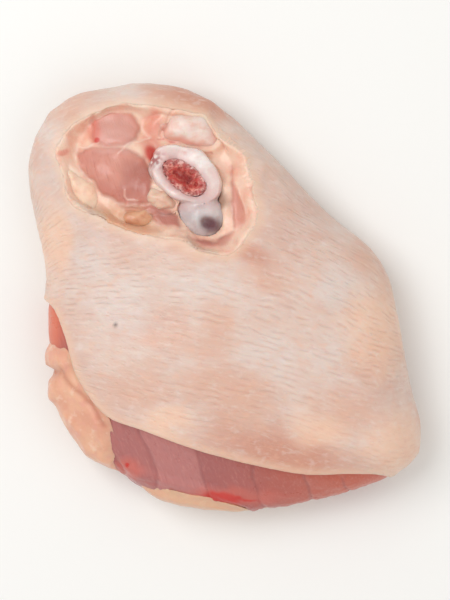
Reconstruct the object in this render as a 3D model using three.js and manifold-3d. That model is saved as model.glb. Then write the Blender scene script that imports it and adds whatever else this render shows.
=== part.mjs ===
// A raw chicken thigh with its bone and skin, lying skin side up. Millimetres, +Z up.
// The knee joint is at the +Y end, where the skin stops short and leaves the cut knuckle, the
// muscle and the fat bare. At the -Y end the skin stops again, over a crescent of bare muscle.
import * as THREE from "three";
import { mergeVertices } from "three/addons/utils/BufferGeometryUtils.js";
import Module from "manifold-3d";

const wasm = await Module();
wasm.setup();

// Driving dimensions
const CROWN = 27.4; // height of the meat in the middle
const KNEE_DROP = 3; // how much lower the knee end lies
const KNEE_SLOPE = [8, 46]; // where the fall to the knee end starts and stops, from the middle
const KNEE_BEARING = 112; // direction from the middle to the knee, in degrees from +X
const MEAN_REACH = 50; // from the middle to the outline
const WIDEST = 10.5; // height at which the thigh is widest
const FOOT = 0.82; // size of the flat underside, as a share of the widest outline
const DOME = 2.05; // roundness of the rim of the top
const SHOULDER = 2.7; // flatness of the top: 2 is a dome, more is a pillow
const SHOULDER_LEAN = 0.9; // how much flatter it is at +X, and rounder at -X
const SKIN = 1.9; // thickness of the skin with the fat on its back
const HEM = 0.7; // how much thicker it is along its cut edges
const HEM_WIDTH = 5;
const FLAP = 1.3; // thickness of the flap of skin from the underside
const FLAP_TAIL = 0.5; // the same at its thin end, towards +X
const FLAP_THINS = [-30, 8]; // where it starts and stops getting thinner, along X
const GAP = 0.35; // between pieces that lie against each other
const CLEARANCE = 1.6; // height of the skin's lowest edge over the base
const MOUTH_DEPTH = 3.8; // how far the bare meat at the knee lies below the skin's inside
const MOUTH_RIM = [0.8, 1.02]; // where it falls to that depth, as shares of the opening's reach
const CRESCENT_DEPTH = 1.4; // how far the bare crescent lies below the skin's inside
const CRESCENT_RIM = 5; // how far below the skin's edge it reaches that depth
const CRESCENT_START = [-33, -27]; // where it begins, along X
const RIM_LEVEL = 0.35; // relief fades out below this share of the rise from rim to crown

// Fineness of the facets, and the height and reach of a cut that goes past everything
const DETAIL = 11; // subdivisions of the balls that the meat and the skin are shaped from
const KNUCKLE_DETAIL = 5;
const CONDYLE_DETAIL = 4;
const MARROW_DETAIL = 3;
const FAT_DETAIL = 2;
const RIM_STEPS = 90; // sides of the opening at the knee
const EDGE_STEPS = 80; // steps of the skin's lower edge
const FLAP_STEPS = 40; // steps of the flap's outer side
const PAST = 90;

// Slow swells of the top: their rise, their crest on the plan, and their length along X and Y
const SWELLS = [
  { rise: 0.55, crest: [8, 6], length: [63, 75] },
  { rise: 0.3, crest: [0, 11], length: [94, 44] },
];

// Widest outline of the meat seen from above, anticlockwise from the right side
const MEAT_OUTLINE = [
  [43.5, -3],
  [46.5, -22],
  [49.5, -35],
  [45, -42.5],
  [27, -49.5],
  [3, -53],
  [-22, -47.5],
  [-39, -32],
  [-45.5, -14],
  [-46, 10],
  [-50, 38],
  [-45, 51],
  [-29, 57],
  [-8, 54.5],
  [8, 41],
  [25, 24],
  [39, 11],
];

// Edge of the opening in the skin at the knee
const MOUTH_CENTRE = [-19, 37];
const MOUTH_OUTLINE = [
  [6, 20],
  [8, 31],
  [2, 43],
  [-6, 50.5],
  [-18, 53.5],
  [-33, 53],
  [-42, 48.5],
  [-44.5, 41],
  [-41.5, 31],
  [-34, 24.3],
  [-24, 21.6],
  [-13, 18.6],
  [-3, 15.6],
];

// Lower edge of the skin, from the left side to the lower right corner
const SKIN_EDGE = [
  [-62, 3],
  [-47, 2],
  [-42.5, -6],
  [-39, -17],
  [-31.2, -26.9],
  [-21, -30.7],
  [-4, -36.6],
  [18, -41.6],
  [34, -43.4],
  [43, -46],
  [53, -56],
  [62, -70],
];

// The flap of skin, which starts along the skin's lower edge. Its other edges are drawn on the plan
// above the widest line, and seen from -Y, as x and z, below it.
const FLAP_START = [-41, -30.6];
const FLAP_OUTLINE = [
  [-29.9, -34],
  [-29.6, -40],
  [-27, -43.6],
  [-21.5, -46],
  [-13, -48.2],
  [-4, -50],
  [3, -52.2],
  [8, -54.5],
  [9, -62],
  [-34, -62],
  [-62, -30],
  [-60, -14],
  [-46, -12.5],
];
const FLAP_STEP = 0.9; // how far the flap starts below that edge
const FLAP_BEHIND = 12.6; // where its end stands below the widest line, behind the middle
const FLAP_TAPER = [
  [6, WIDEST],
  [13, 8.6],
  [21, 5.4],
  [33, CLEARANCE],
];

// Muscle bellies that bulge in the opening
const BELLY_FULLNESS = 0.8; // power of their curve: less is fuller
const BELLIES = [
  { at: [-29.5, 47], reach: [8.5, 7], turn: 10, rise: 3.4 },
  { at: [-31, 36.5], reach: [11.5, 7], turn: -42, rise: 4 },
  { at: [-22, 35.5], reach: [4, 8.5], turn: 12, rise: 3 },
  { at: [-15, 24.5], reach: [8, 3.6], turn: -38, rise: 2.4 },
  { at: [2.5, 31], reach: [6.5, 11], turn: -18, rise: 3.2 },
];

// Seams between the bundles of the crescent
const SEAM_PLACES = [-31, -22, -9, 4, 17]; // where each seam crosses SEAM_ROW, along X
const SEAM_ROW = -34;
const SEAM_LEAN = 0.33; // sideways run of a seam for each millimetre down
const SEAM_WIDTH = 2;
const SEAM_DEPTH = 0.9;

// The knuckle at the knee end of the thigh bone
const KNUCKLE = { at: [-10.6, 36], radii: [10.6, 6.7, 9], turn: -34 };
const CUT_RISE = 1.6; // the middle of the knuckle's cut face stands this far above the meat
const CUT_LEAN = new THREE.Vector3(0.1, 0.2, 1).normalize(); // the way the cut face looks
const CUT_SHARE = 0.35; // the cut is this share of the knuckle's height above its middle
const SECOND_CONDYLE = { at: [-6, 25.2], radii: [7.4, 6.2, 7], turn: -30 };
const SECOND_RISE = 0.8; // its top stands this far above the meat
const DIMPLE = { at: [-4.2, 23.6], radii: [2.6, 1.8, 1.5], turn: -25 };
const DIMPLE_SINK = 0.3; // the middle of the dimple lies this far below the condyle's top
const MARROW = { at: [-10.8, 35.5], radii: [6.4, 3.4, 11], turn: -36 };
const MARROW_CROWN = 0.5; // how far the marrow stands above the cut face

// The shaft, from inside the knuckle to the hip end, which stays inside the meat
const SHAFT_KNEE = new THREE.Vector3(-8.5, 31, 14.6);
const SHAFT_HIP = new THREE.Vector3(1.5, -41, 12);
const SHAFT_PROFILE = [
  [0, -1],
  [4.6, 0],
  [4.9, 6],
  [4.2, 18],
  [3.9, 36],
  [4.3, 56],
  [5.6, 66],
  [5, 71],
  [0, 73.5],
];
const SHAFT_SIDES = 8;
const SHAFT_STEPS = 10;
const THINNEST = 0.5; // smallest radius between the two ends
const MARROW_CORE = 1.9; // radius of the marrow inside the shaft
const MARROW_SPAN = [-7, 60]; // where it starts, in the marrow of the knuckle, and where it stops
const MARROW_TAPER = [3, 5]; // length of its pointed start and end

// Lumps of fat in the opening. Each is sunk into the meat by its depth.
const FATS = {
  fat_band: { at: [-37.2, 31.3], radii: [11, 3, 3.2], turn: -47, bend: 0.022, sink: 3.4 },
  fat_pad: { at: [-9.6, 47.6], radii: [9, 4.6, 4], turn: -6, sink: 2.9 },
  fat_lump: { at: [-16.8, 29], radii: [4.8, 3.2, 3], turn: -42, sink: 2.9 },
  fat_patch: { at: [-22.9, 24.4], radii: [4.6, 2.4, 2.4], turn: -12, sink: 3.1 },
};

const radians = THREE.MathUtils.degToRad;
const { lerp, smoothstep } = THREE.MathUtils;

// Solids: three.js geometry to manifold-3d and back

function toSolid(geometry) {
  const bare = geometry.index ? geometry.toNonIndexed() : geometry.clone();
  bare.deleteAttribute("normal");
  bare.deleteAttribute("uv");
  const merged = mergeVertices(bare, 1e-4);
  return new wasm.Manifold(
    new wasm.Mesh({
      numProp: 3,
      vertProperties: new Float32Array(merged.attributes.position.array),
      triVerts: new Uint32Array(merged.index.array),
    }),
  );
}

function toGeometry(solid) {
  const { vertProperties, triVerts } = solid.getMesh();
  const geometry = new THREE.BufferGeometry();
  geometry.setAttribute("position", new THREE.BufferAttribute(vertProperties, 3));
  geometry.setIndex(new THREE.BufferAttribute(triVerts, 1));
  geometry.computeVertexNormals();
  return geometry;
}

// The largest body of a solid, without the scraps that a cut can leave
function largest(solid) {
  const bodies = solid.decompose();
  return bodies.reduce((best, body) => (body.volume() > best.volume() ? body : best));
}

// An upright prism over a plan outline, from `low` to `high`
function prism(points, low, high) {
  const shape = new THREE.Shape(points.map(([x, y]) => new THREE.Vector2(x, y)));
  const geometry = new THREE.ExtrudeGeometry(shape, { depth: high - low, bevelEnabled: false });
  return toSolid(geometry.translate(0, 0, low));
}

// Plan curves

function curveThrough(points, closed, steps) {
  const corners = points.map(([x, y]) => new THREE.Vector3(x, y, 0));
  const curve = new THREE.CatmullRomCurve3(corners, closed, "centripetal");
  return curve.getSpacedPoints(steps).map(({ x, y }) => [x, y]);
}

// How far a closed outline lies from a centre, for any bearing from that centre
function reachOf(outline, [cx, cy]) {
  const bearings = 360;
  const rim = curveThrough(outline, true, 4 * bearings);
  const table = new Array(bearings).fill(0);
  for (const [x, y] of rim) {
    const slot = Math.round(bearingOf(x - cx, y - cy) * bearings) % bearings;
    table[slot] = Math.hypot(x - cx, y - cy);
  }
  return (x, y) => {
    const place = bearingOf(x - cx, y - cy) * bearings;
    const slot = Math.floor(place) % bearings;
    return lerp(table[slot], table[(slot + 1) % bearings], place - Math.floor(place));
  };
}

// Bearing as a share of a full turn, from 0 to 1
function bearingOf(x, y) {
  return (Math.atan2(y, x) / (2 * Math.PI) + 1) % 1;
}

const meatReach = reachOf(MEAT_OUTLINE, [0, 0]);
const mouthReach = reachOf(MOUTH_OUTLINE, MOUTH_CENTRE);
const mouthRim = curveThrough(MOUTH_OUTLINE, true, RIM_STEPS);
const skinEdge = curveThrough(SKIN_EDGE, false, EDGE_STEPS);

// Height on the plan of the skin's lower edge at x
function skinEdgeAt(x) {
  const next = skinEdge.findIndex(([edgeX]) => edgeX > x);
  if (next <= 0) return skinEdge.at(next)[1];
  const [x0, y0] = skinEdge[next - 1];
  const [x1, y1] = skinEdge[next];
  return lerp(y0, y1, (x - x0) / (x1 - x0));
}

// 0 in the middle of the opening at the knee, 1 on its edge, more outside
function mouthShare(x, y) {
  return Math.hypot(x - MOUTH_CENTRE[0], y - MOUTH_CENTRE[1]) / mouthReach(x, y);
}

// The form of the thigh

const shoulderAt = (bearing) => SHOULDER + SHOULDER_LEAN * Math.cos(2 * Math.PI * bearing);

// Height of the meat's top before it rounds off towards the rim
function crownAt(x, y) {
  const knee = radians(KNEE_BEARING);
  const along = x * Math.cos(knee) + y * Math.sin(knee);
  const wave = (distance, length) => Math.cos((2 * Math.PI * distance) / length);
  const swells = SWELLS.map(
    ({ rise, crest, length }) => rise * wave(x - crest[0], length[0]) * wave(y - crest[1], length[1]),
  );
  const slope = CROWN - KNEE_DROP * smoothstep(along, ...KNEE_SLOPE);
  return swells.reduce((sum, swell) => sum + swell, slope);
}

// Side profile: t runs from the crown (0) over the widest outline (1) and round the edge of the
// underside (2) to its middle (3). The level is 1 at the crown, 0 at the widest, -1 at the base.
function profile(t, shoulder) {
  const turn = ((t % 1) * Math.PI) / 2;
  if (t < 1) return { rho: Math.sin(turn) ** (2 / shoulder), level: Math.cos(turn) ** (2 / DOME) };
  if (t < 2) return { rho: lerp(FOOT, 1, Math.cos(turn)), level: -Math.sin(turn) };
  return { rho: FOOT * (3 - t), level: -1 };
}

// The thigh's surface above each step of t, as if it were round on the plan. The facets of a ball
// are spread by it, so that they come out alike in size, and larger on the hidden underside.
const T_STEPS = 300;
const STRETCH_WEIGHTS = [1.15, 1, 0.3]; // more gives smaller facets: top, side and underside
const areaAbove = [0];
for (let i = 1; i <= T_STEPS; i++) {
  const here = profile((3 * i) / T_STEPS, SHOULDER);
  const last = profile((3 * (i - 1)) / T_STEPS, SHOULDER);
  const rise = (here.level - last.level) * (here.level > 0 ? CROWN - WIDEST : WIDEST);
  const run = Math.hypot((here.rho - last.rho) * MEAN_REACH, rise);
  const weight = STRETCH_WEIGHTS[Math.floor((3 * (i - 1)) / T_STEPS)];
  areaAbove.push(areaAbove[i - 1] + weight * run * (here.rho + last.rho));
}

// The t that has this share of the surface above it
function profilePlace(share) {
  const wanted = Math.min(share, 1) * areaAbove[T_STEPS];
  const next = Math.max(1, areaAbove.findIndex((area) => area >= wanted));
  const part = (wanted - areaAbove[next - 1]) / (areaAbove[next] - areaAbove[next - 1]);
  return (3 * (next - 1 + part)) / T_STEPS;
}

// Height of the meat's top over a plan point, without the relief
function topAt(x, y) {
  const rho = Math.min(Math.hypot(x, y) / meatReach(x, y), 1);
  const level = (1 - rho ** shoulderAt(bearingOf(x, y))) ** (1 / DOME);
  return lerp(WIDEST, crownAt(x, y), level);
}

// The meat's surface in the direction of a unit vector, without the relief
function bodyPoint({ x, y, z }) {
  const { rho, level } = profile(profilePlace((1 - z) / 2), shoulderAt(bearingOf(x, y)));
  const round = Math.hypot(x, y) || 1;
  const radius = rho * meatReach(x, y);
  const px = (x / round) * radius;
  const py = (y / round) * radius;
  const pz = level > 0 ? lerp(WIDEST, crownAt(px, py), level) : WIDEST * (1 + level);
  return { point: new THREE.Vector3(px, py, pz), level };
}

// A bump that is 1 at its middle and 0 from its reach on
function bump(x, y, { at, reach, turn }) {
  const angle = radians(turn);
  const dx = x - at[0];
  const dy = y - at[1];
  const u = (dx * Math.cos(angle) + dy * Math.sin(angle)) / reach[0];
  const v = (dy * Math.cos(angle) - dx * Math.sin(angle)) / reach[1];
  return Math.max(0, 1 - u * u - v * v) ** BELLY_FULLNESS;
}

// How far the bare meat stands above the smooth form: hollows, bellies and seams
function relief(x, y) {
  const inside = 1 - smoothstep(mouthShare(x, y), ...MOUTH_RIM);
  const bellies = BELLIES.map((belly) => belly.rise * bump(x, y, belly));
  const below = skinEdgeAt(x) - y;
  const onCrescent = smoothstep(below, 0, CRESCENT_RIM) * smoothstep(x, ...CRESCENT_START);
  const along = x + SEAM_LEAN * (y - SEAM_ROW);
  const seams = SEAM_PLACES.map((place) => Math.exp(-(((along - place) / SEAM_WIDTH) ** 2)));
  return (
    inside * (Math.max(...bellies) - MOUTH_DEPTH) -
    onCrescent * (CRESCENT_DEPTH + SEAM_DEPTH * Math.max(...seams))
  );
}

// A ball whose every point is moved to where `place` puts it
function shapedBall(detail, place) {
  const ball = new THREE.IcosahedronGeometry(1, detail);
  ball.deleteAttribute("normal");
  ball.deleteAttribute("uv");
  const geometry = mergeVertices(ball, 1e-4);
  const { position } = geometry.attributes;
  const point = new THREE.Vector3();
  for (let i = 0; i < position.count; i++) {
    const moved = place(point.fromBufferAttribute(position, i));
    position.setXYZ(i, moved.x, moved.y, moved.z);
  }
  geometry.computeVertexNormals();
  return geometry;
}

// The smooth form, swollen along its normals by what `thickness` gives for each point
function swollenBody(thickness) {
  const geometry = shapedBall(DETAIL, (direction) => bodyPoint(direction).point);
  const { position, normal } = geometry.attributes;
  const point = new THREE.Vector3();
  const outward = new THREE.Vector3();
  for (let i = 0; i < position.count; i++) {
    point.fromBufferAttribute(position, i);
    outward.fromBufferAttribute(normal, i);
    point.addScaledVector(outward, thickness(point));
    position.setXYZ(i, point.x, point.y, point.z);
  }
  return toSolid(geometry);
}

// Skin

// Thickness of the skin, which rolls up a little along its two cut edges
function skinThickness({ x, y }) {
  const away = [...mouthRim, ...skinEdge].map(([edgeX, edgeY]) => Math.hypot(x - edgeX, y - edgeY));
  return SKIN + HEM * Math.exp(-((Math.min(...away) / HEM_WIDTH) ** 2));
}

const skinInside = swollenBody(() => GAP);

function makeSkin() {
  const [, leftY] = SKIN_EDGE[0];
  const [, rightY] = SKIN_EDGE.at(-1);
  const cover = [...skinEdge, [PAST, rightY], [PAST, PAST], [-PAST, PAST], [-PAST, leftY]];
  return swollenBody((point) => GAP + skinThickness(point))
    .subtract(skinInside)
    .intersect(prism(cover, CLEARANCE, PAST))
    .subtract(prism(mouthRim, WIDEST, PAST));
}

// The flap of skin that comes from the underside and lies on the meat below the skin's edge
function makeFlap() {
  const [from, to] = FLAP_START;
  const upper = skinEdge.filter(([x]) => x > from && x < to).map(([x, y]) => [x, y - FLAP_STEP]);
  const outer = curveThrough(FLAP_OUTLINE, false, FLAP_STEPS);
  const thickness = ({ x }) => GAP + lerp(FLAP, FLAP_TAIL, smoothstep(x, ...FLAP_THINS));
  const shell = swollenBody(thickness).subtract(skinInside);
  const front = [[-PAST, WIDEST], ...FLAP_TAPER, [-PAST, CLEARANCE]];
  const above = prism([...upper, ...outer], WIDEST, PAST);
  const below = prism(front, FLAP_BEHIND, PAST).rotate([90, 0, 0]);
  return largest(shell.intersect(above.add(below)));
}

// Lumps, bone and marrow

// A ball squashed to its radii, bent along its length, turned on the plan and set in place
function lump({ at, radii, turn, bend = 0 }, z, detail, grow = 0) {
  const [a, b, c] = radii.map((radius) => radius + grow);
  const angle = radians(turn);
  return shapedBall(detail, (unit) => {
    const x = unit.x * a;
    const y = unit.y * b - bend * x * x;
    return new THREE.Vector3(
      at[0] + x * Math.cos(angle) - y * Math.sin(angle),
      at[1] + x * Math.sin(angle) + y * Math.cos(angle),
      z + unit.z * c,
    );
  });
}

const cutHeight = topAt(...KNUCKLE.at) + CUT_RISE;

// A block that holds all that lies further than `lid` above the knuckle's cut face
function aboveCut(lid) {
  const block = new THREE.BoxGeometry(PAST, PAST, PAST).translate(0, 0, PAST / 2 + lid);
  const straightUp = new THREE.Vector3(0, 0, 1);
  block.applyQuaternion(new THREE.Quaternion().setFromUnitVectors(straightUp, CUT_LEAN));
  return toSolid(block.translate(...KNUCKLE.at, cutHeight));
}

// A turned piece along the line of the shaft, closed on its axis at both ends
function alongShaft(points, grow) {
  const line = SHAFT_HIP.clone().sub(SHAFT_KNEE).normalize();
  const curve = new THREE.SplineCurve(points.map(([r, y]) => new THREE.Vector2(r, y)));
  const outline = curve.getPoints(SHAFT_STEPS).map(({ x, y }, i) => {
    if (i === 0) return new THREE.Vector2(0, y - grow);
    if (i === SHAFT_STEPS) return new THREE.Vector2(0, y + grow);
    return new THREE.Vector2(Math.max(x, THINNEST) + grow, y);
  });
  const lathe = new THREE.LatheGeometry(outline, SHAFT_SIDES);
  const along = new THREE.Quaternion().setFromUnitVectors(new THREE.Vector3(0, 1, 0), line);
  return toSolid(lathe.applyQuaternion(along).translate(...SHAFT_KNEE.toArray()));
}

// The marrow: a plug in the knuckle and a core in the shaft. Grown, it is the hollow for it.
function marrowSolid(grow) {
  const [start, end] = MARROW_SPAN;
  const core = [
    [0, start],
    [MARROW_CORE, start + MARROW_TAPER[0]],
    [MARROW_CORE, (start + end) / 2],
    [MARROW_CORE, end - MARROW_TAPER[1]],
    [0, end],
  ];
  const plug = toSolid(lump(MARROW, cutHeight, MARROW_DETAIL, grow));
  return plug.add(alongShaft(core, grow)).subtract(aboveCut(grow > 0 ? PAST : MARROW_CROWN));
}

// The two condyles and the shaft. Grown, they are the space that the bone needs in the meat.
function boneSolid(grow) {
  const secondTop = topAt(...SECOND_CONDYLE.at) + SECOND_RISE;
  const knuckleMiddle = cutHeight - KNUCKLE.radii[2] * CUT_SHARE;
  const knuckle = toSolid(lump(KNUCKLE, knuckleMiddle, KNUCKLE_DETAIL, grow));
  const secondMiddle = secondTop - SECOND_CONDYLE.radii[2];
  const second = toSolid(lump(SECOND_CONDYLE, secondMiddle, CONDYLE_DETAIL, grow));
  const whole = knuckle.add(second).add(alongShaft(SHAFT_PROFILE, grow));
  if (grow > 0) return whole;
  const dimple = toSolid(lump(DIMPLE, secondTop - DIMPLE_SINK, FAT_DETAIL));
  return whole.subtract(aboveCut(0)).subtract(dimple).subtract(marrowSolid(GAP));
}

// Fat, kept inside the opening of the skin and off the bone. Grown, it is the socket for it.
const fatBall = (fat, grow) => toSolid(lump(fat, topAt(...fat.at) - fat.sink, FAT_DETAIL, grow));

function makeFat(fat, boneSpace) {
  const inset = ([x, y]) => {
    const share = 1 - (2 * GAP) / mouthReach(x, y);
    return [lerp(MOUTH_CENTRE[0], x, share), lerp(MOUTH_CENTRE[1], y, share)];
  };
  const opening = prism(mouthRim.map(inset), 0, PAST);
  return largest(fatBall(fat, 0).intersect(opening).subtract(boneSpace));
}

// The meat: the smooth form with its relief, and sockets for the bone and the fat
function makeMeat(boneSpace) {
  const body = shapedBall(DETAIL, (direction) => {
    const { point, level } = bodyPoint(direction);
    if (level > 0) point.z += relief(point.x, point.y) * smoothstep(level, 0, RIM_LEVEL);
    return point;
  });
  const sockets = Object.values(FATS).map((fat) => fatBall(fat, GAP));
  return largest([boneSpace, ...sockets].reduce((meat, space) => meat.subtract(space), toSolid(body)));
}

// Materials and the finished group

const finishes = {
  skin: { color: 0xead5c6, roughness: 0.42 },
  meat: { color: 0xc98a86, roughness: 0.38 },
  fat: { color: 0xf1d2ae, roughness: 0.4 },
  bone: { color: 0xdcdbe0, roughness: 0.3 },
  marrow: { color: 0xa3232b, roughness: 0.5 },
};

const thigh = new THREE.Group();

function addPiece(name, solid, finish) {
  const material = new THREE.MeshStandardMaterial({ ...finishes[finish], metalness: 0 });
  const mesh = new THREE.Mesh(toGeometry(solid), material);
  mesh.name = name;
  thigh.add(mesh);
}

const boneSpace = boneSolid(GAP);
addPiece("meat", makeMeat(boneSpace), "meat");
addPiece("skin", makeSkin(), "skin");
addPiece("skin_flap", makeFlap(), "skin");
addPiece("bone", boneSolid(0), "bone");
addPiece("marrow", marrowSolid(0), "marrow");
for (const [name, fat] of Object.entries(FATS)) addPiece(name, makeFat(fat, boneSpace), "fat");

// The origin lies on the base, under the middle of the box round the thigh
const box = new THREE.Box3().setFromObject(thigh);
const middle = box.getCenter(new THREE.Vector3());
thigh.position.set(-middle.x, -middle.y, -box.min.z);

export default thigh;
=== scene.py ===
# %% [markdown]
# # A raw chicken thigh
# This lesson dresses the plain solids of a chicken thigh: muscle, skin, bone and fat. Each piece
# starts from its solid, so that it has the right size and place, and then gets the fine surface
# that the real one shows. All lengths are in metres, and MM turns millimetres into them.

import math

import bpy
import numpy as np
from mathutils import Matrix, Vector, kdtree, noise
from mathutils.bvhtree import BVHTree


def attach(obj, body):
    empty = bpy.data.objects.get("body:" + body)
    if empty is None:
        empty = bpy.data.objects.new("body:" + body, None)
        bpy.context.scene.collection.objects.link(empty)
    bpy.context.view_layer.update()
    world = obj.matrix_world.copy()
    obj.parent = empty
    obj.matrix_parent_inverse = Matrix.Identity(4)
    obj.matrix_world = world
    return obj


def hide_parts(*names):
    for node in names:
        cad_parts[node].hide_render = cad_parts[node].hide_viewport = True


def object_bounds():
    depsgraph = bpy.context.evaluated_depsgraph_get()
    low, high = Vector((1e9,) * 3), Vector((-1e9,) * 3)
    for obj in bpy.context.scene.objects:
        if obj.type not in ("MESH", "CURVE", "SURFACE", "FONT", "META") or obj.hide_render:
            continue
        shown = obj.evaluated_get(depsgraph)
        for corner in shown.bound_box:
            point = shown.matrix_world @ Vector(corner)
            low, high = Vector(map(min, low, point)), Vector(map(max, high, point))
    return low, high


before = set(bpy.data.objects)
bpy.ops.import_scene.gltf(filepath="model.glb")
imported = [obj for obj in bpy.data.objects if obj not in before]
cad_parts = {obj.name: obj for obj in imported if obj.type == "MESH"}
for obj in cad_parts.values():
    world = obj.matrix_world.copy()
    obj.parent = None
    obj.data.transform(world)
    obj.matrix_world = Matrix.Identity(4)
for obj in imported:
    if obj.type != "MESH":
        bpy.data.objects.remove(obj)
cad_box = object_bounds()
MM = 0.001
size_mm = [round((high - low) / MM, 1) for low, high in zip(*cad_box)]
print("solids:", sorted(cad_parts), "size in mm:", size_mm)

# %% [markdown]
# ## Working on one object at a time
# An operator acts on everything that is selected, and a freshly loaded model is selected all
# over. So each step begins by selecting the one piece that it is about.


# %% Helpers for selecting and for modifiers
def only(piece):
    """Selects this piece and nothing else."""
    bpy.ops.object.select_all(action="DESELECT")
    piece.select_set(True)
    bpy.context.view_layer.objects.active = piece


def apply_modifier(piece, kind, **settings):
    """Adds a modifier with these settings and makes its result the piece's own mesh."""
    only(piece)
    modifier = piece.modifiers.new(kind.title(), kind)
    for key, value in settings.items():
        setattr(modifier, key, value)
    bpy.ops.object.modifier_apply(modifier=modifier.name)


# %% [markdown]
# ## From a plain solid to fine clay
# A solid of a few thousand flat facets is like a rough casting. Shaped as it is, it would show
# its long triangles in every soft bend. So it is copied, its loose triangles are merged, and a
# voxel remesh turns it into an even net of small squares. The net is then smoothed until the
# facets are gone, and it is fine enough to be shaped like clay.


# %% Copies of solids, and their remesh
def copy_of(name, node, swell=0.0):
    """Copies a solid into a new object, its doubles merged, swollen by so many millimetres."""
    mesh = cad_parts[node].data.copy()
    mesh.materials.clear()
    piece = bpy.data.objects.new(name, mesh)
    bpy.context.collection.objects.link(piece)
    only(piece)
    bpy.ops.object.mode_set(mode="EDIT")
    bpy.ops.mesh.select_all(action="SELECT")
    bpy.ops.mesh.remove_doubles(threshold=1e-3 * MM)
    if swell:
        bpy.ops.transform.shrink_fatten(value=swell * MM)
    bpy.ops.object.mode_set(mode="OBJECT")
    return piece


def remesh(piece, voxel):
    """An even net over the piece, with squares of so many millimetres."""
    only(piece)
    piece.data.remesh_voxel_size = voxel * MM
    bpy.ops.object.voxel_remesh()
    bpy.ops.object.shade_smooth()


# %% Smoothing by shares
SHARE_STEPS = 20


def smooth(piece, rounds, shares=None):
    """Relaxes the net so many times, by each point's share of the full step."""
    if shares is None:
        apply_modifier(piece, "SMOOTH", factor=0.5, iterations=rounds)
        return
    group = piece.vertex_groups.new(name="relaxed")
    levels = np.round(np.clip(shares, 0, 1) * SHARE_STEPS).astype(int)
    for level in np.unique(levels[levels > 0]):
        members = np.flatnonzero(levels == level).tolist()
        group.add(members, float(level) / SHARE_STEPS, "REPLACE")
    apply_modifier(piece, "SMOOTH", factor=0.5, iterations=rounds, vertex_group=group.name)
    piece.vertex_groups.clear()


# %% [markdown]
# ## Points as arrays
# Sculpting in code means to move many points by one rule. numpy does that at once for all the
# points of a net, and the rules here are written in millimetres.


# %% Helpers for points
def points_of(piece):
    """All points of the piece, in millimetres."""
    flat = np.empty(len(piece.data.vertices) * 3, np.float32)
    piece.data.vertices.foreach_get("co", flat)
    return flat.reshape(-1, 3).astype(float) / MM


def normals_of(piece):
    """The normal at each point."""
    flat = np.empty(len(piece.data.vertices) * 3, np.float32)
    piece.data.vertex_normals.foreach_get("vector", flat)
    return flat.reshape(-1, 3).astype(float)


def put_points(piece, points):
    """Moves the piece's points to these places, in millimetres."""
    piece.data.vertices.foreach_set("co", (points * MM).astype(np.float32).ravel())
    piece.data.update()


def push(piece, depth, direction=None):
    """Moves each point by so many millimetres along its normal or another direction."""
    way = normals_of(piece) if direction is None else direction
    put_points(piece, points_of(piece) + way * np.asarray(depth)[:, None])


def keep(piece, name, values):
    """Stores a number for each point, which the piece's material reads."""
    attribute = piece.data.attributes.new(name, "FLOAT", "POINT")
    attribute.data.foreach_set("value", np.asarray(values, np.float32))


# %% [markdown]
# Three kinds of rule do most of the work. One fades an effect in or out between two values. Noise
# is for all that is uneven. An oval, seen from above, puts something in one place, as the soft
# tip of a brush would. In a file, unlike under the brush, all three can be tuned again later.


# %% Rules that fade, vary and place
def ease(value, low, high):
    """0 below low, 1 above high and smooth between them."""
    share = np.clip((value - low) / (high - low), 0, 1)
    return share * share * (3 - 2 * share)


def turned(points, angle):
    """The points turned about the upright axis."""
    c, s = math.cos(angle), math.sin(angle)
    return points @ np.array([[c, s, 0], [-s, c, 0], [0, 0, 1]])


def waves(points, size, seed=0.0):
    """Smooth noise from about -1 to 1, with bumps of about this size in mm along X, Y and Z."""
    return np.array([noise.noise(Vector(p)) for p in points / np.asarray(size, float) + seed])


def wobbled(points, size, reach, seed=0.0):
    """The points shifted sideways by noise, so that what is drawn by them gets an uneven rim."""
    shifts = [reach * waves(points, (size, size, size), seed + 7 * i) for i in range(2)]
    return points + np.stack([*shifts, np.zeros(len(points))], axis=1)


def oval(points, middle, radii, turn=0.0, soft=0.5):
    """1 inside an upright oval column and 0 outside, soft over this share of its radius."""
    flat = turned(points - np.array([*middle, 0.0]), -math.radians(turn))
    reach = np.hypot(flat[:, 0] / radii[0], flat[:, 1] / radii[1])
    return 1 - ease(reach, 1 - soft, 1 + soft)


def patches(points, ovals, soft=1.0):
    """The strongest of several ovals at each point. Each has a middle, two radii and a turn."""
    return np.max([oval(points, *shape, soft=soft) for shape in ovals], axis=0)


# %% [markdown]
# ## The skin
# The skin is a sheet about 2 mm thick that wraps over the top and round the sides, open at the
# knee and cut off over the crescent of muscle. Its net is smoothed strongly where it is broad,
# and only a little along its cut edges, which would otherwise creep back and get thin. The cut
# edges are found on the plain solid: there two facets meet at a sharp angle.

# %% Finding the cut edges
SHARP = math.radians(40)
EDGE_STEP = 0.7


def sharp_edges(piece):
    """Places along the sharp edges of a plain solid, about a millimetre apart."""
    places = points_of(piece)
    normals = np.array([face.normal[:] for face in piece.data.polygons])
    faces_at = {}
    for face in piece.data.polygons:
        for key in face.edge_keys:
            faces_at.setdefault(key, []).append(face.index)
    found = []
    for (a, b), faces in faces_at.items():
        if len(faces) == 2 and normals[faces[0]] @ normals[faces[1]] < math.cos(SHARP):
            steps = max(2, int(np.linalg.norm(places[a] - places[b]) / EDGE_STEP))
            found += [places[a] + (places[b] - places[a]) * i / steps for i in range(steps)]
    return np.array(found)


def point_tree(places):
    """A search tree over places."""
    tree = kdtree.KDTree(len(places))
    for i, place in enumerate(places):
        tree.insert(place, i)
    tree.balance()
    return tree


def distance_to(tree, points):
    """Each point's distance to the nearest place in a tree."""
    return np.array([tree.find(p)[2] for p in points])


# %% The skin's net
SKIN_VOXEL = 0.55
FIRM_EDGE = (1.2, 4.0)

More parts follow.
